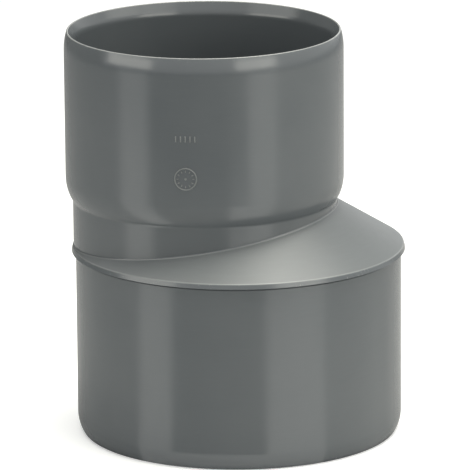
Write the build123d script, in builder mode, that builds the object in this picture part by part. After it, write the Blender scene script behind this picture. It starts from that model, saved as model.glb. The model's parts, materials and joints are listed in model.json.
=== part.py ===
from build123d import *
from math import cos, radians, tan
import os

# Eccentric pipe reducer, moulded in one piece. The larger end is a spigot that goes into the socket of a larger pipe,
# and the smaller end is a socket that takes a smaller pipe. The two axes are parallel and set apart by the
# eccentricity, so the inside runs nearly level along one side, which lies towards -X.
# All sizes are millimetres. The origin is the centre of the spigot's end, with the spigot's axis along Z.

# The spigot, which has the outside diameter of the larger pipe.
spigot_diameter = 125.0
spigot_wall = 3.0
spigot_length = 71.1
spigot_taper_length = 6.9
spigot_taper_depth = 2.1
spigot_edge_break = 0.4

# The flange that stops the spigot, and the cone that rises from it and meets the neck.
flange_lip = 0.5
flange_face = 1.45
flange_upper_round = 1.1
flange_lower_round = 0.3
cone_slope = 31.5
cone_wall = 3.2
cone_root_round = 3.0

# The neck, which is set over to one side. Its bore stands the step inside the spigot's bore along the level side.
neck_diameter = 101.4
neck_wall = 4.3
neck_length = 26.2
level_side_step = 0.2

# The socket, which takes the smaller pipe down to the seat, and the bulge of its wall over the neck.
pipe_diameter = 100.0
pipe_clearance = 0.15
socket_depth = 59.0
socket_wall = 3.25
seat_width = 2.0
seat_bevel_height = 3.0
shoulder_rise = 2.6
shoulder_height = 9.2

# The mouth of the socket: the wall rounds in outside and flares inside.
mouth_height = 7.2
mouth_depth = 1.1
lead_in_height = 4.4
lead_in_depth = 1.6
lead_in_round = 4.0
rim_round = 0.2

# Sizes that follow from the ones above.
spigot_radius = spigot_diameter / 2
spigot_bore_radius = spigot_radius - spigot_wall
neck_radius = neck_diameter / 2
neck_bore_radius = neck_radius - neck_wall
eccentricity = spigot_bore_radius - neck_bore_radius - level_side_step
flange_radius = eccentricity + neck_radius + flange_lip
flange_top = spigot_length + flange_face
cone_apex = flange_top + flange_radius * tan(radians(cone_slope))
hollow_apex = cone_apex - cone_wall / cos(radians(cone_slope))
hollow_cone_foot = hollow_apex - spigot_bore_radius * tan(radians(cone_slope))
seat_height = spigot_length + neck_length
overall_height = seat_height + socket_depth
socket_bore_radius = pipe_diameter / 2 + pipe_clearance
socket_radius = socket_bore_radius + socket_wall
shoulder_top = seat_height + shoulder_rise
seat_radius = socket_bore_radius - seat_width

# The bevel under the seat reaches lower by as much as the neck's bore is wider than the seat's opening, so that the
# wall between the neck and the socket stays whole for a wide neck too.
throat_top = seat_height - seat_bevel_height - max(0, neck_bore_radius - seat_radius)

# The socket and the neck turn about their own axis, level with the spigot's.
socket_plane = Plane(origin=(-eccentricity, 0, 0), x_dir=(1, 0, 0), z_dir=(0, -1, 0))
socket_axis = Axis((-eccentricity, 0, 0), (0, 0, 1))

with BuildPart() as reducer_body:
    # The outside of the spigot, the flange and the cone, as one turned form.
    with BuildSketch(Plane.XZ) as spigot_form:
        with BuildLine():
            taper = TangentArc(
                (spigot_radius, spigot_taper_length),
                (spigot_radius - spigot_taper_depth, 0),
                tangent=(0, -1),
            )
            Polyline(
                taper @ 1,
                (0, 0),
                (0, cone_apex),
                (flange_radius, flange_top),
                (flange_radius, spigot_length),
                (spigot_radius, spigot_length),
                taper @ 0,
            )
        make_face()
        flange_corners = spigot_form.vertices().group_by(Axis.X)[-1].sort_by(Axis.Y)
        fillet(flange_corners[-1], flange_upper_round)
        fillet(flange_corners[0], flange_lower_round)
    revolve(axis=Axis.Z)

    # The outside of the neck and the socket, which starts within the flange and so rises out of the cone.
    with BuildSketch(socket_plane) as socket_form:
        with BuildLine():
            shoulder = TangentArc(
                (socket_radius, shoulder_top),
                (neck_radius, shoulder_top - shoulder_height),
                tangent=(0, -1),
            )
            mouth = TangentArc(
                (socket_radius, overall_height - mouth_height),
                (socket_radius - mouth_depth, overall_height),
                tangent=(0, 1),
            )
            Line(shoulder @ 0, mouth @ 0)
            Polyline(
                mouth @ 1,
                (0, overall_height),
                (0, spigot_length + flange_face / 2),
                (neck_radius, spigot_length + flange_face / 2),
                shoulder @ 1,
            )
        make_face()
        rim_corner = socket_form.vertices().group_by(Axis.Y)[-1].sort_by(Axis.X)[-1]
        fillet(rim_corner, rim_round)
    revolve(axis=socket_axis)

    # The inside of the spigot, with a cone under the outer one that leaves the wall between them.
    with BuildSketch(Plane.XZ) as spigot_hollow:
        with BuildLine():
            Polyline(
                (0, 0),
                (spigot_bore_radius + spigot_edge_break, 0),
                (spigot_bore_radius, spigot_edge_break),
                (spigot_bore_radius, hollow_cone_foot),
                (0, hollow_apex),
                close=True,
            )
        make_face()
        cone_root = spigot_hollow.vertices().sort_by_distance((spigot_bore_radius, hollow_cone_foot))[0]
        fillet(cone_root, cone_root_round)
    revolve(axis=Axis.Z, mode=Mode.SUBTRACT)

    # The inside of the neck and the socket: bore, bevel, seat for the pipe's end, pipe bore and lead-in.
    with BuildSketch(socket_plane) as socket_hollow:
        with BuildLine():
            Polyline(
                (0, spigot_length / 2),
                (neck_bore_radius, spigot_length / 2),
                (neck_bore_radius, throat_top),
                (seat_radius, seat_height),
                (socket_bore_radius, seat_height),
                (socket_bore_radius, overall_height - lead_in_height),
                (socket_bore_radius + lead_in_depth, overall_height),
                (0, overall_height),
                close=True,
            )
        make_face()
        lead_in_foot = socket_hollow.vertices().sort_by_distance(
            (socket_bore_radius, overall_height - lead_in_height)
        )[0]
        fillet(lead_in_foot, lead_in_round)
    revolve(axis=socket_axis, mode=Mode.SUBTRACT)

reducer_body.part.label = "reducer_body"

os.makedirs("parts", exist_ok=True)
export_step(reducer_body.part, "parts/reducer_body.step")
print(f"eccentricity {eccentricity:.2f} mm, overall height {overall_height:.2f} mm")
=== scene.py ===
import json
import logging
import math
from dataclasses import dataclass, field
from enum import Enum
from typing import Any, Mapping, NamedTuple, Optional, Sequence, Union

import bpy
import numpy as np
from mathutils import Matrix, Vector


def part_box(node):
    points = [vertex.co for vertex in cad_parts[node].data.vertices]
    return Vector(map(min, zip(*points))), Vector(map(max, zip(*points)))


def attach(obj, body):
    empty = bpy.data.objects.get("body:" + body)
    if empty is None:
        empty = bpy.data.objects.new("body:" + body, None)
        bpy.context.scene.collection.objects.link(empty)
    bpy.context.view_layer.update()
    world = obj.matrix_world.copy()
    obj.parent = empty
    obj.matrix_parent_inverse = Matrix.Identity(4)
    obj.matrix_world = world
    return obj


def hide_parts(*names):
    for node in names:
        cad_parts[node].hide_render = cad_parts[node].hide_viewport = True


# The look of the eccentric pipe reducer: its moulded skin, a few plain raised marks on the socket's front, the
# plastic's finish, a pale studio and the camera. All lengths are metres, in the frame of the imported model, with the
# spigot's axis along Z and the socket's axis set over towards -X.

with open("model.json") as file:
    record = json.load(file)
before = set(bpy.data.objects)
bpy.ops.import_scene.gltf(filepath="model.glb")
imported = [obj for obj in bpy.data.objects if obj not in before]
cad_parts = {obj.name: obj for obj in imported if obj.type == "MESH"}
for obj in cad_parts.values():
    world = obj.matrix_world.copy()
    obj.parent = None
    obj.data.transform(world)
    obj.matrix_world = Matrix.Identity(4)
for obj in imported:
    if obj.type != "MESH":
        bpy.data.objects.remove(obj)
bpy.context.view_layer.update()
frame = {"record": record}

LOG = logging.getLogger("reducer")
MM = 0.001
BODY = "root"
NODE = "reducer_body"
Pair = tuple[float, float]
Triple = tuple[float, float, float]
Number = Union[float, "Flow"]
Surface = tuple[np.ndarray, np.ndarray, np.ndarray]


# Shapes worked out as arrays


class Run(NamedTuple):
    """The next run of a profile.

    It goes straight to a point of radius and height, or through rows of such points. The count is how many points it
    gets, and the rounding is the length that is cut off it, and off the run after it, to round the corner between.
    """

    path: Union[Pair, np.ndarray]
    count: int
    rounding: float = 0.0


def crowded(count: int, edge: float = 0.004) -> np.ndarray:
    """Give shares from 0 to 1 that stand close together near both ends.

    The shares are half of one minus the cosine of evenly spaced angles, with one more share a small step in from each
    end, so that smooth shading turns only next to a bend.

    Args:
        count: How many shares the cosine spacing gives.
        edge: The small step in from each end.

    Returns:
        The shares in rising order.
    """
    middle = (1.0 - np.cos(np.linspace(0.0, math.pi, count))) / 2.0
    return np.unique(np.concatenate([middle, [edge, 1.0 - edge]]))


def tangent_arc(wall: Pair, tip: Pair, count: int = 40) -> np.ndarray:
    """Give the arc that leaves an upright wall without a corner and ends in a point.

    The circle's centre lies level with the wall's point. Its radius is the squared distance between the two points,
    divided by twice their difference in radius, so the circle passes through both.

    Args:
        wall: Radius and height where the arc touches the wall.
        tip: Radius and height where it ends.
        count: How many points the arc has.

    Returns:
        Points from the wall to the tip, as rows of radius and height.
    """
    across, along = wall[0] - tip[0], tip[1] - wall[1]
    size = (across**2 + along**2) / (2.0 * across)
    turn = np.linspace(0.0, math.asin(along / size), count)
    return np.stack([wall[0] - size + size * np.cos(turn), wall[1] + size * np.sin(turn)], axis=-1)


def shortened(run: np.ndarray, first: float, last: float, count: int) -> np.ndarray:
    """Cut a length off each end of a run and spread crowded points over the rest.

    Each new point lies at its share of the length along the run, between the lengths that are cut off.

    Args:
        run: Rows of radius and height.
        first: The length to cut off at the start.
        last: The length to cut off at the end.
        count: How many points the rest gets, besides the two next to its ends.

    Returns:
        Rows of radius and height.
    """
    steps = np.hypot(*np.diff(run, axis=0).T)
    along = np.concatenate([[0.0], np.cumsum(steps)])
    wanted = first + (along[-1] - first - last) * crowded(count)
    return np.stack([np.interp(wanted, along, run[:, 0]), np.interp(wanted, along, run[:, 1])], axis=-1)


def bend(start: np.ndarray, corner: np.ndarray, end: np.ndarray, count: int = 7) -> np.ndarray:
    """Give the inner points of a rounding that replaces a corner.

    Each point is a quadratic blend: the square of what is left times the start, twice the share times what is left
    times the corner, and the square of the share times the end. It leaves and arrives along both sides.

    Args:
        start: Where the rounding starts, a point or a ring of points.
        corner: The corner that it replaces, of the same shape.
        end: Where it ends, of the same shape.
        count: How many inner points or rings it has.

    Returns:
        The inner points or rings, stacked along a new first axis.
    """
    share = np.linspace(0.0, 1.0, count + 2)[1:-1].reshape((-1,) + (1,) * start.ndim)
    left = 1.0 - share
    return left**2 * start + 2.0 * share * left * corner + share**2 * end


def rounded(start: Pair, runs: Sequence[Run]) -> np.ndarray:
    """Join runs of a profile end to end, with a rounding at each corner.

    Args:
        start: Radius and height where the first run starts.
        runs: The runs in order.

    Returns:
        Rows of radius and height of the whole profile.
    """
    lines = []
    for run in runs:
        line = np.reshape(run.path, (-1, 2))
        lines.append(line if len(line) > 1 else np.stack([lines[-1][-1] if lines else np.array(start), line[0]]))
    cuts = [0.0, *(run.rounding for run in runs)]
    pieces = [shortened(line, cut, run.rounding, run.count) for line, cut, run in zip(lines, cuts, runs)]
    joined = [pieces[0]]
    for before, after, line, size in zip(pieces, pieces[1:], lines[1:], cuts[1:]):
        joined += [bend(before[-1], line[0], after[0]), after] if size else [after[1:]]
    return np.concatenate(joined)


def turned(profile: np.ndarray, angles: np.ndarray, axis_x: float = 0.0) -> np.ndarray:
    """Turn a profile about an upright axis.

    X is the axis plus the radius times the angle's cosine, Y is the radius times its sine, and Z is the height.

    Args:
        profile: Rows of radius and height.
        angles: The angles of each ring's points.
        axis_x: Where the axis stands along X.

    Returns:
        Rings of points, as rows by angles by 3.
    """
    radius, height = profile[:, :1], profile[:, 1:]
    x = axis_x + radius * np.cos(angles)
    y = radius * np.sin(angles)
    return np.stack([x, y, np.broadcast_to(height, x.shape)], axis=-1)


def closed_surface(grid: np.ndarray, loop_rows: bool) -> Surface:
    """Join a grid of points whose columns go all the way round into a closed surface.

    Where the rows go round as well, the surface is a closed ring. Otherwise the first and last rows are each one
    place, and they become single points with a fan of triangles.

    Args:
        grid: Points as rows by columns by 3. Columns turn to the left of the rows' direction, seen from outside.
        loop_rows: True where the last row is followed by the first.

    Returns:
        The points, the points' numbers face by face, and how many points each face has.
    """
    rows, columns = grid.shape[:2]
    near = np.arange(columns)
    far = np.roll(near, -1)
    bands, first = (rows, 0) if loop_rows else (rows - 3, 1)
    low = first + np.arange(bands)[:, None] * columns
    high = np.roll(low, -1, axis=0) if loop_rows else low + columns
    sides = np.stack([low + near, low + far, high + far, high + near], axis=-1).reshape(-1)
    if loop_rows:
        return grid.reshape(-1, 3), sides, np.full(bands * columns, 4)
    points = np.concatenate([grid[0, :1], grid[1:-1].reshape(-1, 3), grid[-1, :1]])
    top = first + bands * columns
    below = np.stack([np.zeros_like(near), first + far, first + near], axis=-1)
    above = np.stack([top + near, top + far, np.full_like(near, len(points) - 1)], axis=-1)
    corners = np.concatenate([sides, below.reshape(-1), above.reshape(-1)])
    return points, corners, np.repeat([4, 3], [bands * columns, 2 * columns])


def open_surface(grid: np.ndarray) -> Surface:
    """Join a grid of points with four edges into a surface.

    Args:
        grid: Points as rows by columns by 3.

    Returns:
        The same as closed_surface gives.
    """
    rows, columns = grid.shape[:2]
    low = (np.arange(rows - 1)[:, None] * columns + np.arange(columns - 1)).reshape(-1)
    corners = np.stack([low, low + 1, low + columns + 1, low + columns], axis=-1).reshape(-1)
    return grid.reshape(-1, 3), corners, np.full(len(low), 4)


def new_object(name: str, surfaces: Sequence[Surface], material: bpy.types.Material, smooth: bool) -> bpy.types.Object:
    """Make an object with one mesh of surfaces that lie apart.

    Args:
        name: The name of the object and its mesh.
        surfaces: The surfaces.
        material: Its material.
        smooth: True where the shading turns smoothly from face to face.

    Returns:
        The object, in the scene.
    """
    starts = np.cumsum([0] + [len(points) for points, _, _ in surfaces])
    points = np.concatenate([points for points, _, _ in surfaces])
    corners = np.concatenate([corners + start for (_, corners, _), start in zip(surfaces, starts)])
    totals = np.concatenate([totals for _, _, totals in surfaces])
    mesh = bpy.data.meshes.new(name)
    mesh.vertices.add(len(points))
    mesh.vertices.foreach_set("co", points.astype(np.float32).ravel())
    mesh.loops.add(len(corners))
    mesh.loops.foreach_set("vertex_index", corners.astype(np.int32))
    mesh.polygons.add(len(totals))
    mesh.polygons.foreach_set("loop_start", (np.cumsum(totals) - totals).astype(np.int32))
    mesh.polygons.foreach_set("use_smooth", np.full(len(totals), smooth))
    mesh.update(calc_edges=True)
    mesh.validate()
    mesh.materials.append(material)
    made = bpy.data.objects.new(name, mesh)
    bpy.context.scene.collection.objects.link(made)
    return made


def new_piece(name: str, surfaces: Sequence[Surface], material: bpy.types.Material) -> bpy.types.Object:
    """Make a piece of the reducer, which rides on its one body.

    Args:
        name: The piece's name.
        surfaces: Its closed surfaces.
        material: Its material.

    Returns:
        The piece.
    """
    piece = new_object(name, surfaces, material, smooth=True)
    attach(piece, BODY)
    return piece


# Materials


@dataclass(frozen=True)
class Flow:
    """A socket of a material's nodes, which maths is written with."""

    nodes: "Nodes"
    socket: Optional[bpy.types.NodeSocket]

    def maths(self, operation: str, other: Number = 0.0, swapped: bool = False) -> "Flow":
        """Add a Math node of this value and another one, which comes first where they are swapped."""
        values = {0: other, 1: self} if swapped else {0: self, 1: other}
        return self.nodes.add("ShaderNodeMath", {"operation": operation}, values)

    def __add__(self, other: Number) -> "Flow":
        """Add."""
        return self.maths("ADD", other)

    def __sub__(self, other: Number) -> "Flow":
        """Subtract."""
        return self.maths("SUBTRACT", other)

    def __rsub__(self, other: Number) -> "Flow":
        """Subtract from a number."""
        return self.maths("SUBTRACT", other, swapped=True)

    def __mul__(self, other: Number) -> "Flow":
        """Multiply."""
        return self.maths("MULTIPLY", other)

    __radd__ = __add__
    __rmul__ = __mul__

    def __abs__(self) -> "Flow":
        """Drop the sign."""
        return self.maths("ABSOLUTE")

    def between(self, low: float, high: float) -> "Flow":
        """Give a smooth rise from 0 to 1 while this value goes from low to high, held at 0 and 1 outside."""
        ends = {"Value": self, "From Min": low, "From Max": high}
        return self.nodes.add("ShaderNodeMapRange", {"interpolation_type": "SMOOTHSTEP"}, ends)


class Nodes:
    """The nodes of one material or of the world."""

    def __init__(self, owner: Union[bpy.types.Material, bpy.types.World]) -> None:
        """Start with no nodes.

        Args:
            owner: The new material or world.
        """
        owner.use_nodes = True
        self.owner = owner
        self.tree = owner.node_tree
        self.tree.nodes.clear()

    def add(
        self,
        kind: str,
        settings: Optional[Mapping[str, Any]] = None,
        inputs: Optional[Mapping[Union[str, int], Any]] = None,
        output: Union[str, int] = 0,
    ) -> Flow:
        """Add a node, set it and fill its sockets.

        Args:
            kind: The node's type.
            settings: The node's own settings, set first.
            inputs: For each socket's name or number, a value or a Flow to link.
            output: The name or number of the output that is handed on.

        Returns:
            The node's output.
        """
        node = self.tree.nodes.new(kind)
        for key, value in (settings or {}).items():
            setattr(node, key, value)
        for key, value in (inputs or {}).items():
            if isinstance(value, Flow):
                self.tree.links.new(value.socket, node.inputs[key])
            else:
                node.inputs[key].default_value = value
        return Flow(self, node.outputs[output] if len(node.outputs) else None)

    def blend(self, share: Number, first: Any, second: Any) -> Flow:
        """Blend two colours, each a Flow or red, green and blue, by the share of the second one that shows."""
        first, second = (end if isinstance(end, Flow) else (*end, 1.0) for end in (first, second))
        return self.add("ShaderNodeMix", {"data_type": "RGBA"}, {0: share, 6: first, 7: second}, output=2)

    def vector(self, operation: str, first: Flow, second: Sequence[float] = (0.0,) * 3, output: str = "Vector") -> Flow:
        """Add a Vector Math node of a Flow and a fixed vector."""
        return self.add("ShaderNodeVectorMath", {"operation": operation}, {0: first, 1: second}, output)

    def noise(self, place: Flow, scale: float, detail: float, roughness: float = 0.5) -> Flow:
        """Add a noise pattern from 0 to 1, with its scale in cells to a metre and its detail in finer layers."""
        sockets = {"Vector": place, "Scale": scale, "Detail": detail, "Roughness": roughness}
        return self.add("ShaderNodeTexNoise", {"noise_dimensions": "3D"}, sockets, output="Fac")

    def seen_white(self) -> Flow:
        """Give 1 for rays from the camera and those that glossy or clear surfaces pass on, and 0 for all others.

        Returns:
            The sum of the three kinds of ray, held at 1.
        """
        kinds = [
            self.add("ShaderNodeLightPath", output=kind)
            for kind in ("Is Camera Ray", "Is Glossy Ray", "Is Transmission Ray")
        ]
        return (kinds[0] + kinds[1] + kinds[2]).maths("MINIMUM", 1.0)

    def finish(self, shader: Flow, output: str = "ShaderNodeOutputMaterial") -> Any:
        """Link a shader to the output node and hand the finished material or world over."""
        self.add(output, None, {"Surface": shader})
        return self.owner


@dataclass(frozen=True)
class ConeZone:
    """Where the cone lies outside, for its own finish and its painted light, and the height of the flange's upper edge,
    where a painted highlight line goes.
    """

    eccentricity: float
    neck_radius: float
    bottom: float
    top: float
    ridge: float


@dataclass(frozen=True)
class MouldedPlastic:
    """Cool mid-grey rigid plastic as it comes from the mould, with a smooth and softly shining skin."""

    name: str = "moulded_grey_plastic"
    colour: Triple = (0.088, 0.0975, 0.105)
    cloud_tint: Triple = (0.097, 0.106, 0.113)
    cloud_cells: float = 22.0
    cloud_edge: Pair = (0.3, 0.7)
    smear_cells: float = 140.0
    smear_edge: Pair = (0.35, 0.7)
    fleck_cells: float = 900.0
    fleck_edge: Pair = (0.52, 0.74)
    grain_cells: float = 2600.0
    refraction: float = 1.53
    roughness: float = 0.215
    roughness_swing: float = 0.06
    scuff_tint: Triple = (0.135, 0.145, 0.146)
    scuff_line: Pair = (0.2 * MM, 2.2 * MM)
    scuff_roughness: float = 0.16
    # Painted light: the cone outside is painted this lighter grey where the upward slope takes more light.
    cone_painted_light_tint: Triple = (0.103, 0.113, 0.117)
    cone_roughness: float = 0.17
    cone_fade: float = 0.8 * MM
    shoulder_fade: float = 0.5 * MM
    neck_line: Pair = (0.1 * MM, 0.8 * MM)
    ridge_line: Pair = (0.12 * MM, 0.3 * MM)
    bead_line: Pair = (0.1 * MM, 0.22 * MM)
    bead_place: float = 0.3 * MM
    tool_mark_tint: Triple = (0.116, 0.127, 0.133)
    tool_mark_cells: Triple = (110.0, 110.0, 1500.0)
    tool_mark_edge: Pair = (0.4, 0.75)
    tool_mark_share: float = 0.07
    cone_tool_mark_share: float = 0.25
    mouth_height: float = 7.2 * MM
    mouth_fade: float = 1.0 * MM
    polish_edge: Pair = (0.3, 0.6)
    mouth_polish: float = 0.055
    # Painted highlight: the rim and the fine edge lines at the flange's ridge and the neck's bead are painted paler.
    rim_painted_highlight_tint: Triple = (0.25, 0.26, 0.255)
    rim_line: Pair = (0.35 * MM, 0.1 * MM)
    rim_painted_highlight_share: float = 0.85
    edge_painted_highlight_share: float = 0.4
    ripple_depth: float = 0.03 * MM
    grain_depth: float = 0.004 * MM

    def zones(self, nodes: Nodes, place: Flow, height: Flow, cone: ConeZone) -> tuple[Flow, Flow]:
        """Give masks of the cone outside, for its finish and its painted light, and of the fine edge lines round it,
        for a painted highlight.

        The cone's mask is the product of three smooth steps: above the flange's edge, below the shoulder, and beyond
        the neck's radius about the socket's axis. The lines, which carry a painted highlight, are a narrow band of
        heights at the flange's upper edge and a narrow band of radii next to the neck.

        Args:
            nodes: The material's nodes.
            place: The coordinates.
            height: Their height.
            cone: Where the cone lies.

        Returns:
            The two masks, from 0 to 1.
        """
        flat = nodes.vector("MULTIPLY", nodes.vector("ADD", place, (cone.eccentricity, 0.0, 0.0)), (1.0, 1.0, 0.0))
        off_neck = nodes.vector("LENGTH", flat, output="Value") - cone.neck_radius
        beside = height.between(cone.bottom, cone.bottom + self.cone_fade)
        beside = beside * (1.0 - height.between(cone.top - self.shoulder_fade, cone.top))
        ridge = 1.0 - abs(height - cone.ridge).between(*self.ridge_line)
        bead = beside * (1.0 - abs(off_neck - self.bead_place).between(*self.bead_line))
        return beside * off_neck.between(*self.neck_line), (ridge + bead).maths("MINIMUM", 1.0)

    def build(self, edges: Sequence[float], cone: ConeZone, rim: float = 1.0) -> bpy.types.Material:
        """Make the material.

        The colour drifts slowly between two greys, with the fine level rings of the mould's tool marks on it. On the
        cone outside it is painted a lighter grey, a painted light where the upward slope takes more light. The
        roughness follows the same slow clouds and finer smears. It is higher on the cone, where the mould was left less
        polished, and lower on the mouth's taper. Close to the heights that are rubbed in use, a broken noise lightens
        and dulls the skin a little. The rim and the fine edge lines at the flange's ridge and the neck's bead are
        painted paler, a painted highlight on those edges. The bump is a slow ripple of the moulded wall with a fine
        grain on it.

        Args:
            edges: Heights of the edges that are rubbed in use.
            cone: Where the cone lies.
            rim: The rim's height.

        Returns:
            The material.
        """
        nodes = Nodes(bpy.data.materials.new(self.name))
        place = nodes.add("ShaderNodeTexCoord", output="Object")
        height = nodes.add("ShaderNodeSeparateXYZ", None, {"Vector": place}, output="Z")
        clouds = nodes.noise(place, self.cloud_cells, detail=3.0)
        smears = nodes.noise(place, self.smear_cells, detail=4.0, roughness=0.6)
        flecks = nodes.noise(place, self.fleck_cells, detail=3.0, roughness=0.7)
        grain = nodes.noise(place, self.grain_cells, detail=2.0)
        near = 0.0
        for edge in edges:
            near = near + (1.0 - abs(height - edge).between(*self.scuff_line))
        rubbed = near * flecks.between(*self.fleck_edge) * smears.between(*self.smear_edge)
        on_cone, lines = self.zones(nodes, place, height, cone)
        stretched = nodes.vector("MULTIPLY", place, self.tool_mark_cells)
        marks = nodes.noise(stretched, scale=1.0, detail=3.0).between(*self.tool_mark_edge)
        marks = marks * (self.tool_mark_share + self.cone_tool_mark_share * on_cone)
        # Mask of the rim's painted highlight.
        rim_highlight_mask = height.between(rim - self.rim_line[0], rim - self.rim_line[1])
        colour = nodes.blend(clouds.between(*self.cloud_edge), self.colour, self.cloud_tint)
        colour = nodes.blend(rubbed, colour, self.scuff_tint)
        # Painted light: the cone outside is blended to a lighter grey.
        colour = nodes.blend(on_cone, colour, self.cone_painted_light_tint)
        colour = nodes.blend(marks, colour, self.tool_mark_tint)
        # Painted highlight: the rim and the fine edge lines are blended towards a pale grey.
        colour = nodes.blend(rim_highlight_mask * self.rim_painted_highlight_share + lines * self.edge_painted_highlight_share, colour, self.rim_painted_highlight_tint)
        mouth = rim - self.mouth_height
        polished = height.between(mouth - self.mouth_fade, mouth + self.mouth_fade)
        polished = polished * smears.between(*self.polish_edge)
        roughness = self.roughness + (clouds - 0.5) * self.roughness_swing + (smears - 0.5) * self.roughness_swing
        roughness = roughness + rubbed * self.scuff_roughness + on_cone * self.cone_roughness
        roughness = roughness - polished * self.mouth_polish
        relief = clouds * self.ripple_depth + grain * self.grain_depth
        bump = nodes.add("ShaderNodeBump", None, {"Strength": 1.0, "Distance": 1.0, "Height": relief}, output="Normal")
        sockets = {"Base Color": colour, "Roughness": roughness, "IOR": self.refraction, "Normal": bump}
        return nodes.finish(nodes.add("ShaderNodeBsdfPrincipled", None, sockets))


# Painted highlight: the raised marks are painted a lighter grey than the wall, for the glint on their relief.
RAISED_PAINTED_HIGHLIGHT = MouldedPlastic(
    name="raised_mark_plastic",
    colour=(0.155, 0.165, 0.165),
    cloud_tint=(0.17, 0.18, 0.18),
    roughness=0.3,
)


@dataclass(frozen=True)
class MattBoard:
    """Matt board without colour, for the studio's white floor and for the grey cards and screen."""

    tone: float
    lift: float = 0.0

    def build(self, name: str) -> bpy.types.Material:
        """Make the material.

        Where the board has a lift, rays from the camera, and those that glossy or clear surfaces pass on, get that
        much white on top of what the lamps give, so that the open floor reads as white and the shadow on it stays.

        Args:
            name: The material's name.

        Returns:
            The material.
        """
        nodes = Nodes(bpy.data.materials.new(name))
        sockets = {"Base Color": (self.tone, self.tone, self.tone, 1.0), "Roughness": 0.9, "Specular IOR Level": 0.0}
        if self.lift:
            sockets["Emission Color"] = nodes.blend(nodes.seen_white(), (0.0,) * 3, (self.lift,) * 3)
            sockets["Emission Strength"] = 1.0
        return nodes.finish(nodes.add("ShaderNodeBsdfPrincipled", None, sockets))


# The object


@dataclass(frozen=True)
class Slope:
    """A cone that turns down into a wall through a rounding.

    Lengths along it are counted from the point where the rounding touches the wall, up and in over the cone.
    """

    corner_radius: float
    corner_height: float
    slope: float
    round_size: float
    lean: float = 0.0

    @property
    def arc(self) -> float:
        """The rounding's length: its size times the angle that it turns through."""
        return self.round_size * (math.pi / 2.0 - self.slope - self.lean)

    @property
    def centre(self) -> Pair:
        """Radius and height of the rounding's centre.

        It is the corner, less the size times the sum of the wall's and the cone's outward directions, over one plus
        the cosine of the angle between them.

        Returns:
            The centre's radius and height.
        """
        share = self.round_size / (1.0 + math.sin(self.slope + self.lean))
        across = math.cos(self.lean) + math.sin(self.slope)
        along = math.sin(self.lean) + math.cos(self.slope)
        return self.corner_radius - share * across, self.corner_height - share * along

    @property
    def wall_end(self) -> Pair:
        """Radius and height of the point where the rounding touches the wall."""
        across, along = self.round_size * math.cos(self.lean), self.round_size * math.sin(self.lean)
        return self.centre[0] + across, self.centre[1] + along

    def at(self, length: np.ndarray) -> tuple[np.ndarray, np.ndarray]:
        """Give radius and height at lengths along the slope.

        On the rounding, the radius and height are its centre plus its size times the cosine and sine of the lean plus
        the length over the size. Beyond it, they run straight on, in by the slope's cosine and up by its sine.

        Args:
            length: Lengths from the wall.

        Returns:
            The radii and the heights.
        """
        centre = self.centre
        angle = self.lean + np.minimum(length, self.arc) / self.round_size
        beyond = np.maximum(length - self.arc, 0.0)
        radius = centre[0] + self.round_size * np.cos(angle) - beyond * math.cos(self.slope)
        height = centre[1] + self.round_size * np.sin(angle) + beyond * math.sin(self.slope)
        return radius, height

    def reach(self, radius: np.ndarray) -> np.ndarray:
        """Give the length along the slope at which it has a radius.

        It is the inverse of at: the size times the angle whose cosine is the radius's share on the rounding, less the
        lean, and the difference in radius over the slope's cosine beyond it.

        Args:
            radius: Radii on the slope.

        Returns:
            The lengths.
        """
        centre = self.centre[0]
        turn = math.pi / 2.0 - self.slope
        edge = centre + self.round_size * math.cos(turn)
        angle = np.arccos(np.clip((radius - centre) / self.round_size, math.cos(turn), math.cos(self.lean)))
        return self.round_size * (angle - self.lean) + np.maximum(edge - radius, 0.0) / math.cos(self.slope)


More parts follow.
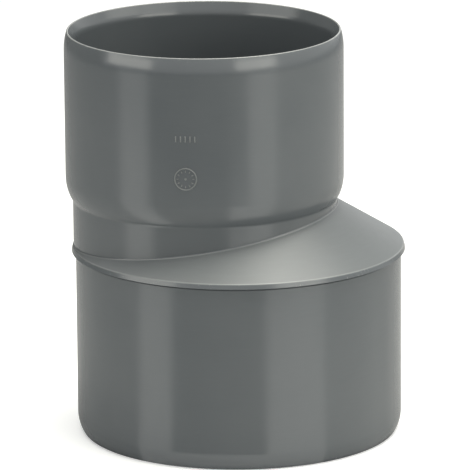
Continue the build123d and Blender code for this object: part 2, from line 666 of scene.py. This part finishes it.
@dataclass
class Moulding:
    """The reducer's one moulded wall, outside and inside, as one closed surface with every edge rounded."""

    eccentricity: float
    spigot_radius: float
    spigot_length: float
    flange_radius: float
    socket_radius: float
    socket_bore: float
    seat_height: float
    height: float
    spigot_wall: float = 3.0 * MM
    bore_bevel: float = 0.4 * MM
    taper_length: float = 6.9 * MM
    taper_depth: float = 2.1 * MM
    flange_face: float = 1.45 * MM
    flange_round: float = 0.35 * MM
    flange_lean: float = math.radians(18.0)
    flange_set_in: float = 0.48 * MM
    relief_height: float = 0.85 * MM
    relief_depth: float = 0.3 * MM
    cone_slope: float = math.radians(31.5)
    cone_wall: float = 3.2 * MM
    cone_root: float = 3.0 * MM
    neck_radius: float = 50.7 * MM
    neck_wall: float = 4.3 * MM
    shoulder_rise: float = 2.6 * MM
    shoulder_height: float = 8.8 * MM
    shoulder_fullness: float = 0.35
    shoulder_gap: float = 1.2 * MM
    neck_lap: float = 1.1 * MM
    throat_lap: float = 0.2 * MM
    seat_width: float = 2.0 * MM
    bevel_height: float = 3.0 * MM
    mouth_height: float = 7.2 * MM
    mouth_depth: float = 1.1 * MM
    lead_in_height: float = 4.4 * MM
    lead_in_depth: float = 1.6 * MM
    junction_size: float = 0.6 * MM
    throat_round: float = 0.3 * MM
    bead_start: float = 0.92
    bead_foot: float = 0.15
    bead_width: float = 0.75
    bead_rise: float = 0.36
    groove_share: float = 0.3
    groove_rise: float = 0.3
    columns: int = 270
    angles: np.ndarray = field(init=False)

    def __post_init__(self) -> None:
        """Work out the angles of each ring's points."""
        self.angles = np.linspace(0.0, 2.0 * math.pi, self.columns, endpoint=False)

    @classmethod
    def from_frame(cls, record: Mapping[str, Any]) -> "Moulding":
        """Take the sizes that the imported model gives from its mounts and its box.

        Args:
            record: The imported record.

        Returns:
            The moulding with those sizes.
        """
        mounts = {mount["name"]: mount for mount in record["mounts"]}
        low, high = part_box(NODE)
        eccentricity = -mounts["socket"]["pos_m"][0]
        return cls(
            eccentricity=eccentricity,
            spigot_radius=mounts["spigot"]["dims"]["r_mm"] * MM,
            spigot_length=mounts["spigot"]["pos_m"][2],
            flange_radius=high.x,
            socket_radius=-low.x - eccentricity,
            socket_bore=mounts["socket"]["dims"]["r_mm"] * MM,
            seat_height=mounts["socket"]["pos_m"][2],
            height=high.z,
        )

    @property
    def roof(self) -> Slope:
        """The cone outside, with the flange's leaning face and the rounding of its upper edge.

        Returns:
            The slope that starts at the flange's edge.
        """
        top = self.spigot_length + self.flange_face + self.flange_set_in * math.tan(self.cone_slope)
        edge = self.flange_radius - self.flange_set_in
        return Slope(edge, top, self.cone_slope, self.flange_round, self.flange_lean)

    @property
    def ceiling(self) -> Slope:
        """The cone inside, under the outer one by the wall, with the rounding into the spigot's bore.

        Returns:
            The slope that starts at the bore.
        """
        bore = self.spigot_radius - self.spigot_wall
        apex = self.spigot_length + self.flange_face + self.flange_radius * math.tan(self.cone_slope)
        foot = apex - self.cone_wall / math.cos(self.cone_slope) - bore * math.tan(self.cone_slope)
        return Slope(bore, foot, self.cone_slope, self.cone_root)

    @property
    def shoulder_foot(self) -> float:
        """The height where the shoulder meets the neck."""
        return self.seat_height + self.shoulder_rise - self.shoulder_height

    @property
    def cone_zone(self) -> ConeZone:
        """Where the cone lies outside, from the flange's edge to just under the shoulder.

        Returns:
            The zone that the plastic's look is told of.
        """
        bottom, top = self.spigot_length + self.flange_face, self.shoulder_foot - self.shoulder_gap
        ridge = float(self.roof.at(np.array([self.roof.arc]))[1][0])
        return ConeZone(self.eccentricity, self.neck_radius, bottom, top, ridge)

    def lower_profile(self) -> np.ndarray:
        """Give the outside below the cone: end, taper, wall, relief groove, and the flange's underside and face.

        Returns:
            Rows of radius and height, up to where the flange's upper rounding starts.
        """
        wall, bottom = self.spigot_radius, self.spigot_length
        groove, foot = wall - self.relief_depth, bottom - self.relief_height
        taper = tangent_arc((wall, -self.taper_length), (wall - self.taper_depth, 0.0)) * [1.0, -1.0]
        return rounded(
            (wall - self.spigot_wall + self.bore_bevel, 0.0),
            [
                Run((wall - self.taper_depth, 0.0), 3, 0.25 * MM),
                Run(taper[::-1], 14),
                Run((wall, foot), 16, 0.06 * MM),
                Run((groove, foot + self.relief_depth), 3, 0.08 * MM),
                Run((groove, bottom), 3, 0.1 * MM),
                Run((self.flange_radius, bottom), 4, 0.15 * MM),
                Run(self.roof.wall_end, 4),
            ],
        )

    def full_arc(self, wall: Pair, tip: Pair) -> np.ndarray:
        """Give the shoulder's curve: between the arc that leaves the wall smoothly and a quarter of an ellipse.

        The ellipse's radius falls by the difference in radius, times one less the root of one less the squared share
        of the height. The curve is the arc plus the fullness times the way from it to the ellipse.

        Args:
            wall: Radius and height where the curve touches the wall.
            tip: Radius and height where it ends.

        Returns:
            Points from the wall to the tip, as rows of radius and height.
        """
        arc = tangent_arc(wall, tip, count=60)
        share = np.clip((arc[:, 1] - wall[1]) / (tip[1] - wall[1]), 0.0, 1.0)
        ellipse = wall[0] - (wall[0] - tip[0]) * (1.0 - np.sqrt(1.0 - share**2))
        return np.column_stack([arc[:, 0] + self.shoulder_fullness * (ellipse - arc[:, 0]), arc[:, 1]])

    def upper_profile(self) -> np.ndarray:
        """Give the socket's wall: shoulder, outside, mouth, rim, lead-in, bore, seat, bevel and throat.

        Returns:
            Rows of radius and height, from the neck's outside over the rim down to the neck's bore.
        """
        wall, bore, top, foot = self.socket_radius, self.socket_bore, self.height, self.shoulder_foot
        rise = self.seat_height + self.shoulder_rise
        shoulder = self.full_arc((wall, -rise), (self.neck_radius, -foot)) * [1.0, -1.0]
        mouth = tangent_arc((wall, top - self.mouth_height), (wall - self.mouth_depth, top))
        throat = self.neck_radius - self.neck_wall
        return rounded(
            (self.neck_radius, foot - self.neck_lap),
            [
                Run((self.neck_radius, foot), 3, 0.9 * MM),
                Run(shoulder[::-1], 16),
                Run((wall, top - self.mouth_height), 16),
                Run(mouth, 14, 0.3 * MM),
                Run((bore + self.lead_in_depth, top), 4, 0.2 * MM),
                Run((bore, top - self.lead_in_height), 7, 1.4 * MM),
                Run((bore, self.seat_height), 16, 0.3 * MM),
                Run((bore - self.seat_width, self.seat_height), 4, 0.2 * MM),
                Run((throat, self.seat_height - self.bevel_height), 4, 0.3 * MM),
                Run((throat, foot - self.throat_lap), 4),
            ],
        )

    def rings_on(self, slope: Slope, meeting: np.ndarray, size: float, count: int) -> tuple[np.ndarray, np.ndarray]:
        """Give the rings that lead over a slope from its wall to the line where an upright pipe meets it.

        Each ring lies on the slope. Its polar angle goes from the ring's own angle at the wall to that of the meeting
        line, in step with the length along the slope. The first rings follow the slope's rounding, or, where the way
        is short, its first three fifths.

        Args:
            slope: The slope.
            meeting: The X and Y of the pipe's wall, as angles by 2.
            size: How far before the meeting line the last ring stops, where the slope is long enough.
            count: How many rings lie between the rounding and the last ring.

        Returns:
            The rings, from the wall inwards, and the ring of the meeting line itself.
        """
        far = slope.reach(np.hypot(meeting[:, 0], meeting[:, 1]))
        polar = np.arctan2(meeting[:, 1], meeting[:, 0])
        twist = (polar - self.angles + math.pi) % (2.0 * math.pi) - math.pi
        last = far - np.minimum(size, far / 2.0)
        knee = np.minimum(slope.arc, 0.6 * last)
        over_round = np.linspace(0.0, 1.0, num=10)[:, None] * knee
        beyond = knee + crowded(count, edge=0.01)[1:, None] * (last - knee)
        length = np.concatenate([over_round, beyond])
        angle = self.angles + twist * length / last
        radius, height = slope.at(length)
        rings = np.stack([radius * np.cos(angle), radius * np.sin(angle), height], axis=-1)
        corner = np.column_stack([meeting, slope.at(far)[1]])
        return rings, corner

    def circle(self, radius: float) -> np.ndarray:
        """Give the X and Y of a circle about the socket's axis: the axis plus the radius times cosine and sine."""
        return np.stack([radius * np.cos(self.angles) - self.eccentricity, radius * np.sin(self.angles)], axis=-1)

    def upright(self, start: np.ndarray, end: np.ndarray, count: int) -> np.ndarray:
        """Give the rings between two rings that stand over each other, at crowded shares of the way."""
        return start + crowded(count, edge=0.01)[1:-1, None, None] * (end - start)

    def bead(self, before: np.ndarray, line: np.ndarray, after: np.ndarray) -> np.ndarray:
        """Give the rings of the fine bead that the mould leaves where the neck stands on the cone.

        A ring is the meeting line plus a share of the way back over the cone plus a share of the way up the neck. The
        way back falls evenly from one to below nothing, so the last rings cut a fine groove into the neck. The way up
        is the square of a sine over the bead, and beyond it rises evenly with the groove. Where the flange leaves the
        neck too little room, the bead is lower in step with its width.

        Args:
            before: The last ring on the cone.
            line: The ring of the meeting line.
            after: The first ring on the neck.

        Returns:
            The rings between the cone and the neck.
        """
        back = np.linspace(self.bead_start, -self.groove_share, num=16)[:, None, None]
        width = np.linalg.norm(before - line, axis=-1, keepdims=True) / self.junction_size
        over = np.clip((back - self.bead_foot) / self.bead_width, 0.0, 1.0)
        crown = self.bead_rise * width * np.sin(math.pi * over) ** 2
        groove = np.clip((self.bead_foot - back) / (self.bead_foot + self.groove_share), 0.0, 1.0)
        return line + back * (before - line) + (crown + self.groove_rise * groove) * (after - line)

    def surface(self) -> np.ndarray:
        """Give the whole closed surface, up the outside, over the rim and down the inside.

        Returns:
            Points as rings by angles by 3.
        """
        lower = turned(self.lower_profile(), self.angles)
        upper = turned(self.upper_profile(), self.angles, -self.eccentricity)
        roof, line = self.rings_on(self.roof, self.circle(self.neck_radius), self.junction_size, count=16)
        on_neck = line + [0.0, 0.0, self.junction_size]
        opening = self.circle(self.neck_radius - self.neck_wall)
        ceiling, edge = self.rings_on(self.ceiling, opening, self.throat_round, count=12)
        in_throat = edge + [0.0, 0.0, self.throat_round]
        bore = rounded(self.ceiling.wall_end, [Run((self.spigot_radius - self.spigot_wall, self.bore_bevel), 16)])
        return np.concatenate(
            [
                lower,
                roof[1:],
                self.bead(roof[-1], line, on_neck),
                on_neck[None],
                self.upright(on_neck, upper[0], count=10),
                upper,
                self.upright(upper[-1], in_throat, count=8),
                in_throat[None],
                bend(in_throat, edge, ceiling[-1], count=4),
                ceiling[::-1],
                turned(bore[1:], self.angles),
            ]
        )

    def build(self, finish: MouldedPlastic) -> bpy.types.Object:
        """Make the moulding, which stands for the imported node.

        Args:
            finish: The plastic's finish.

        Returns:
            The finished piece.
        """
        edges = (0.0, self.spigot_length + self.flange_face / 2.0, self.height)
        material = finish.build(edges, self.cone_zone, self.height)
        piece = new_piece("reducer_moulding", [closed_surface(self.surface(), loop_rows=True)], material)
        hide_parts(NODE)
        return piece


class MarkShape(Enum):
    """The plain marks that a mould leaves on a socket."""

    RING = "ring"
    BAR = "bar"
    PIP = "pip"


@dataclass(frozen=True)
class Mark:
    """One raised mark, with its place on the unrolled wall."""

    shape: MarkShape
    across: float
    up: float
    length: float
    width: float
    turn: float = 0.0


@dataclass
class RaisedMarks:
    """Plain raised marks on the socket's front: a dial with even ticks and, above it, a row of upright bars."""

    wall_radius: float
    axis_x: float
    facing: float = math.radians(-87.4)
    dial_height: float = 110.4 * MM
    dial_radius: float = 4.1 * MM
    tick_inset: float = 1.1 * MM
    row_height: float = 125.7 * MM
    bar_spacing: float = 1.8 * MM
    relief: float = 0.28 * MM
    sunk: float = 0.15 * MM
    line: float = 0.45 * MM

    def marks(self) -> list[Mark]:
        """Lay the marks out: a ring, twelve ticks inside it, a pip in its middle and a row of five bars.

        Returns:
            The marks, with places on the unrolled wall.
        """
        middle = self.dial_radius - self.tick_inset
        ring = Mark(MarkShape.RING, 0.0, self.dial_height, length=self.dial_radius, width=self.line)
        pip = Mark(MarkShape.PIP, 0.0, self.dial_height, length=0.9 * MM, width=0.9 * MM)
        ticks = [
            Mark(
                MarkShape.BAR,
                across=middle * math.sin(turn),
                up=self.dial_height + middle * math.cos(turn),
                length=0.9 * MM,
                width=0.35 * MM,
                turn=-turn,
            )
            for turn in np.linspace(0.0, 2.0 * math.pi, num=12, endpoint=False)
        ]
        bars = [
            Mark(MarkShape.BAR, step * self.bar_spacing, self.row_height, length=2.4 * MM, width=0.5 * MM)
            for step in range(-2, 3)
        ]
        return [ring, pip, *ticks, *bars]

    def on_wall(self, across: np.ndarray, up: np.ndarray, out: np.ndarray) -> np.ndarray:
        """Bend points of the unrolled wall round the socket.

        The angle is the distance across divided by the wall's radius, and the radius is the wall's plus the distance
        out.

        Args:
            across: Distances across, to the right as seen from outside.
            up: Heights.
            out: Distances out from the wall.

        Returns:
            The points, with X, Y and Z last.
        """
        angle = self.facing + across / self.wall_radius
        radius = self.wall_radius + out
        return np.stack([self.axis_x + radius * np.cos(angle), radius * np.sin(angle), up], axis=-1)

    def ring(self, mark: Mark) -> np.ndarray:
        """Give a ring's closed surface: a flattened round section carried round a circle.

        The section's across and out are half the width times the cosine and the relief times the sine of its own
        angle, and below the wall it goes down by the sunk depth instead.

        Args:
            mark: The ring.

        Returns:
            Points as sections by section points by 3.
        """
        turn = np.linspace(0.0, 2.0 * math.pi, num=96, endpoint=False)[:, None]
        around = np.linspace(0.0, 2.0 * math.pi, num=12, endpoint=False)[None, :]
        radius = mark.length - mark.width / 2.0 * np.cos(around)
        out = np.where(np.sin(around) >= 0.0, self.relief, self.sunk) * np.sin(around)
        return self.on_wall(
            mark.across + radius * np.cos(turn),
            mark.up + radius * np.sin(turn),
            np.broadcast_to(out, (turn.size, around.size)),
        )

    def dome(self, mark: Mark) -> np.ndarray:
        """Give a bar's or a pip's closed surface: a low dome over a slot with round ends.

        Rows go from the point below, over the outline, to the point on top: the outline is scaled by the sine of the
        row's angle, and the distance out is the relief or the sunk depth times its cosine. The outline is half the
        width times the cosine and sine of its own angle, moved up or down by the slot's straight half.

        Args:
            mark: The bar or pip.

        Returns:
            Points as rows by outline points by 3, with the first and last rows each one place.
        """
        row = np.linspace(math.pi, 0.0, num=9)[:, None]
        steps = 28
        around = (np.arange(steps) + 0.5)[None, :] / steps * 2.0 * math.pi
        half = mark.width / 2.0
        side = half * np.cos(around)
        along = half * np.sin(around) + np.sign(np.sin(around)) * max(mark.length / 2.0 - half, 0.0)
        scale = np.sin(row)
        scale[0], scale[-1] = 0.0, 0.0
        out = np.where(row < math.pi / 2.0, self.relief, self.sunk) * np.cos(row)
        cos, sin = math.cos(mark.turn), math.sin(mark.turn)
        across = mark.across + scale * (side * cos - along * sin)
        up = mark.up + scale * (side * sin + along * cos)
        return self.on_wall(across, up, np.broadcast_to(out, across.shape))

    def build(self, material: bpy.types.Material) -> list[bpy.types.Object]:
        """Make the marks: the dial's ring, and the bars and the pip.

        Args:
            material: The marks' material.

        Returns:
            The two finished pieces.
        """
        marks = self.marks()
        rings = [closed_surface(self.ring(mark), True) for mark in marks if mark.shape is MarkShape.RING]
        domes = [closed_surface(self.dome(mark), False) for mark in marks if mark.shape is not MarkShape.RING]
        return [new_piece("raised_ring", rings, material), new_piece("raised_marks", domes, material)]


# The studio and the camera


def direction(azimuth: float, elevation: float) -> Vector:
    """Give the way from the object towards an azimuth and an elevation in degrees."""
    turn, rise = math.radians(azimuth), math.radians(elevation)
    return Vector((math.sin(turn) * math.cos(rise), -math.cos(turn) * math.cos(rise), math.sin(rise)))


@dataclass(frozen=True)
class SoftBox:
    """A flat, even lamp that faces the object."""

    name: str
    azimuth: float
    elevation: float
    distance: float
    width: float
    height: float
    radiance: float
    aim: Triple = (0.0, 0.0, 0.08)
    tint: Triple = (1.0, 0.985, 0.9)

    def build(self, camera_azimuth: float) -> None:
        """Make the lamp.

        Its azimuth is counted from the camera's own, to the right as the camera sees it. A lamp's power is four times
        its area times the radiance.

        Args:
            camera_azimuth: The camera's azimuth in degrees.
        """
        lamp = bpy.data.lights.new(self.name, "AREA")
        lamp.shape = "RECTANGLE"
        lamp.size, lamp.size_y = self.width, self.height
        lamp.energy = 4.0 * self.width * self.height * self.radiance
        lamp.color = self.tint
        made = bpy.data.objects.new(self.name, lamp)
        back = direction(self.azimuth + camera_azimuth, self.elevation)
        made.location = Vector(self.aim) + back * self.distance
        made.rotation_euler = back.to_track_quat("Z", "Y").to_euler()
        made.visible_camera = False
        bpy.context.scene.collection.objects.link(made)


def shine_board(name: str, grid: np.ndarray, tone: float) -> None:
    """Make a board of the studio that is seen in reflections alone.

    The floor under it stays white for the camera and keeps the object's shadow.

    Args:
        name: The board's name.
        grid: Its points as rows by columns by 3.
        tone: Its grey.
    """
    board = new_object(name, [open_surface(grid)], MattBoard(tone).build(name), smooth=False)
    board.visible_camera = False
    board.visible_diffuse = False
    board.visible_transmission = False
    board.visible_shadow = False


@dataclass(frozen=True)
class GreyCard:
    """A grey card that lies on the floor beside the object and tones the shine of its walls."""

    name: str
    azimuth_from: float
    azimuth_to: float
    tone: float
    wall: float = 60.0 * MM
    start: float = 0.0
    reach: float = 1.6
    lift: float = 0.05 * MM

    def build(self, camera_azimuth: float) -> None:
        """Make the card, whose edges run the way that the wall's shine runs.

        A wall whose normal points to an azimuth mirrors the view into twice that azimuth. So X is the wall's radius
        times the sine of half the azimuth, plus the distance times the sine of the whole one, and Y is the same with
        minus the cosines. Azimuths are counted from the camera's own, to the right as the camera sees it.

        Args:
            camera_azimuth: The camera's azimuth in degrees.
        """
        turn = np.radians(np.linspace(self.azimuth_from, self.azimuth_to, num=25))[:, None]
        camera = math.radians(camera_azimuth)
        out = np.linspace(self.start, self.reach, num=4)[None, :]
        x = self.wall * np.sin(turn / 2.0 + camera) + out * np.sin(turn + camera)
        y = -self.wall * np.cos(turn / 2.0 + camera) - out * np.cos(turn + camera)
        grid = np.stack([x, y, np.full_like(x, -self.lift)], axis=-1)
        shine_board(self.name, grid, self.tone)


@dataclass(frozen=True)
class GreyScreen:
    """A curved grey screen that stands behind the object, outside the picture."""

    name: str
    azimuth_from: float
    azimuth_to: float
    tone: float
    distance: float = 1.1
    height: float = 0.75

    def build(self, camera_azimuth: float) -> None:
        """Make the screen: an upright piece of a round wall.

        X is the distance times the sine of the azimuth, Y is minus the distance times its cosine, and Z rises from the
        floor to the height.

        Args:
            camera_azimuth: The camera's azimuth in degrees.
        """
        turn = np.radians(np.linspace(self.azimuth_from, self.azimuth_to, num=37) + camera_azimuth)[:, None]
        rise = np.linspace(0.0, self.height, num=4)[None, :]
        x = self.distance * np.sin(turn) * np.ones_like(rise)
        y = -self.distance * np.cos(turn) * np.ones_like(rise)
        grid = np.stack([x, y, rise * np.ones_like(turn)], axis=-1)
        shine_board(self.name, grid, self.tone)


@dataclass
class Studio:
    """The pale floor, the even surroundings, the soft lamps, the cards and the screen."""

    camera_azimuth: float
    floor_reach: float = 4.0
    floor_drop: float = 0.1 * MM
    fill: float = 0.26
    fill_tint: Triple = (0.95, 1.0, 1.07)
    ground: MattBoard = MattBoard(tone=0.86, lift=0.35)
    # Each lamp's name, azimuth, elevation, distance, width, height and radiance.
    boxes: tuple[SoftBox, ...] = (
        SoftBox("overhead_lamp", 110.0, 84.0, 0.8, 0.36, 0.36, 5.8),
        SoftBox("ceiling_lamp", 180.0, 89.0, 0.9, 1.0, 1.0, 2.1),
        SoftBox("right_top_lamp", 85.0, 60.0, 0.85, 0.5, 0.4, 2.9),
        SoftBox("right_high_lamp", 80.0, 34.0, 0.85, 0.5, 0.38, 1.25),
        SoftBox("right_lamp", 42.0, 11.5, 0.75, 0.46, 0.2, 2.7),
        SoftBox("right_upper_lamp", 42.0, 27.0, 0.75, 0.4, 0.2, 1.2),
        SoftBox("left_lamp", -62.0, 12.0, 0.71, 0.5, 0.18, 2.3),
        SoftBox("left_upper_lamp", -70.0, 27.0, 0.71, 0.6, 0.2, 0.9),
    )
    # Each card's name, the azimuths where it begins and ends, and its tone.
    cards: tuple[Union[GreyCard, GreyScreen], ...] = (
        GreyCard("front_card", -48.0, 19.0, 0.29, start=0.018, reach=0.32),
        GreyCard("far_front_card", -48.0, 19.0, 0.2, start=0.32),
        GreyCard("far_right_card", 19.0, 36.0, 0.26, start=0.36),
        GreyCard("right_card", 62.0, 118.0, 0.57),
        GreyCard("right_rear_card", 118.0, 180.0, 0.47, reach=0.33),
        GreyCard("far_right_rear_card", 118.0, 180.0, 0.6, start=0.33),
        GreyCard("left_card", -180.0, -74.0, 0.42),
        GreyScreen("back_screen", 185.0, 272.0, 0.2),
    )

    def build_floor(self) -> None:
        """Make the floor: a flat grid just below the object, square, with faces up."""
        side = np.linspace(-self.floor_reach, self.floor_reach, num=9)
        x, y = np.meshgrid(side, side)
        grid = np.stack([x, y, np.full_like(x, -self.floor_drop)], axis=-1)
        floor = new_object("studio_floor", [open_surface(grid)], self.ground.build("pale_ground"), smooth=False)

    def build_surroundings(self) -> None:
        """Make the world: an even fill, which cameras, glossy and clear surfaces see as white."""
        nodes = Nodes(bpy.data.worlds.new("even_surroundings"))
        fill = tuple(self.fill * share for share in self.fill_tint)
        colour = nodes.blend(nodes.seen_white(), fill, (1.0, 1.0, 1.0))
        background = nodes.add("ShaderNodeBackground", None, {"Color": colour, "Strength": 1.0})
        bpy.context.scene.world = nodes.finish(background, "ShaderNodeOutputWorld")

    def build(self) -> None:
        """Make the floor, the world, the lamps and the boards, and show colours plainly."""
        self.build_floor()
        self.build_surroundings()
        for part in (*self.boxes, *self.cards):
            part.build(self.camera_azimuth)
        bpy.context.scene.view_settings.view_transform = "Standard"


@dataclass(frozen=True)
class Viewpoint:
    """The photograph's viewpoint, as angles and distances from a point on the spigot's axis."""

    azimuth: float = 9.992
    elevation: float = 14.402
    distance: float = 2.0762
    focal_pixels: float = 5404.8
    picture_pixels: float = 470.0
    pivot_height: float = 0.075
    look_right: float = -0.001292
    look_height: float = 0.075816
    roll: float = -0.416

    def build(self) -> None:
        """Make the camera and set it as the scene's.

        It stands back from the pivot by the distance, looks at a point that lies a little to one side of the axis,
        and is rolled about its own line of sight.
        """
        turn = math.radians(self.azimuth)
        across = Vector((math.cos(turn), math.sin(turn), 0.0))
        place = Vector((0.0, 0.0, self.pivot_height)) + direction(self.azimuth, self.elevation) * self.distance
        target = across * self.look_right + Vector((0.0, 0.0, self.look_height))
        forward = (target - place).normalized()
        right = forward.cross(Vector((0.0, 0.0, 1.0))).normalized()
        up = right.cross(forward)
        lean = math.radians(self.roll)
        leaned_right = right * math.cos(lean) + up * math.sin(lean)
        leaned_up = up * math.cos(lean) - right * math.sin(lean)
        data = bpy.data.cameras.new("photo_view")
        data.sensor_width = 36.0
        data.lens = data.sensor_width * self.focal_pixels / self.picture_pixels
        data.clip_start, data.clip_end = 0.05, 50.0
        camera = bpy.data.objects.new("photo_view", data)
        camera.matrix_world = Matrix((leaned_right, leaned_up, -forward)).transposed().to_4x4()
        camera.location = place
        bpy.context.scene.collection.objects.link(camera)
        bpy.context.scene.camera = camera


def main() -> None:
    """Build the view, the studio and the pieces in order, and report each piece."""
    logging.basicConfig(level=logging.INFO, format="%(name)s: %(message)s")
    viewpoint = Viewpoint()
    viewpoint.build()
    Studio(viewpoint.azimuth).build()
    moulding = Moulding.from_frame(frame["record"])
    body = moulding.build(MouldedPlastic())
    # The marks get the plastic with their painted highlight.
    marks = RaisedMarks(moulding.socket_radius, -moulding.eccentricity).build(RAISED_PAINTED_HIGHLIGHT.build((), moulding.cone_zone))
    for piece in (body, *marks):
        LOG.info("%s has %d points and %d faces", piece.name, len(piece.data.vertices), len(piece.data.polygons))


if __name__ == "__main__":
    main()
